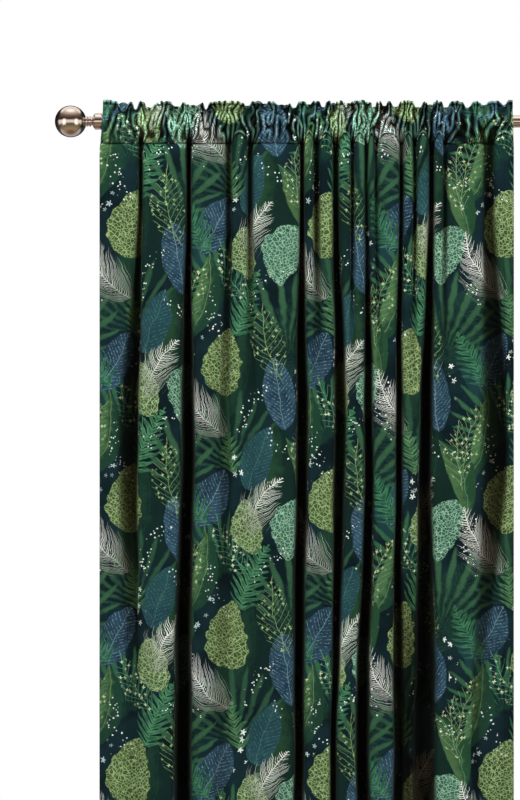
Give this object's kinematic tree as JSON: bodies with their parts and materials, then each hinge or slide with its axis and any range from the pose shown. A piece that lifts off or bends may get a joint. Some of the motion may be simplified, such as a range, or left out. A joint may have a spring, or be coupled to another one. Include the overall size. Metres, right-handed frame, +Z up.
{
  "type": "curtain and rod",
  "caption": "Velvet curtain gathered on a round metal rod through a frilled casing, with deep uneven folds below and ball finials at the rod's ends.",
  "frame": {"origin": "on the rod's axis, at the middle of the hung curtain", "axes": "+Z up, +X along the rod to the viewer's right, the curtain's front faces -Y"},
  "size_m": [1.232, 0.0776, 2.4009],
  "materials": {
    "velvet": "soft pile, printed with leaves in greens and blues on dark teal",
    "rod_metal": "satin, brushed round the rod, slightly warm"
  },
  "bodies": {
    "root": {"curtain_panel": "velvet", "rod_tube": "rod_metal", "finial_left": "rod_metal", "finial_right": "rod_metal"}
  },
  "joints": []
}
